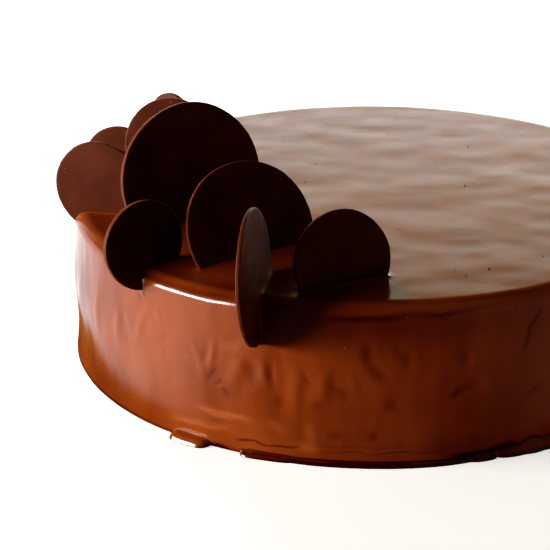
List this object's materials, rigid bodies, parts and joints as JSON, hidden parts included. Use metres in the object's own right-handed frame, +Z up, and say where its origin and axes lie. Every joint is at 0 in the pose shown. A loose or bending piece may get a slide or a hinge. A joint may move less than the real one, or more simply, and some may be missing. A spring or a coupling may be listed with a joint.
{
  "type": "chocolate entremet cake",
  "caption": "Round chocolate entremet with a soft-edged mirror glaze, its rim set with a fan of thin upright chocolate discs.",
  "frame": {"origin": "middle of the cake's flat base, on the surface it stands on", "axes": "+Z up through the cake, -Y towards the viewer, with the discs round the viewer's left of the rim"},
  "size_m": [0.2084, 0.2196, 0.0902],
  "materials": {
    "chocolate_glaze": "gloss",
    "dark_chocolate": "satin"
  },
  "bodies": {
    "root": {"cake": "chocolate_glaze", "disc_1": "dark_chocolate", "disc_2": "dark_chocolate", "disc_3": "dark_chocolate", "disc_4": "dark_chocolate", "disc_5": "dark_chocolate", "disc_6": "dark_chocolate", "disc_7": "dark_chocolate", "disc_8": "dark_chocolate", "disc_9": "dark_chocolate"}
  },
  "joints": []
}
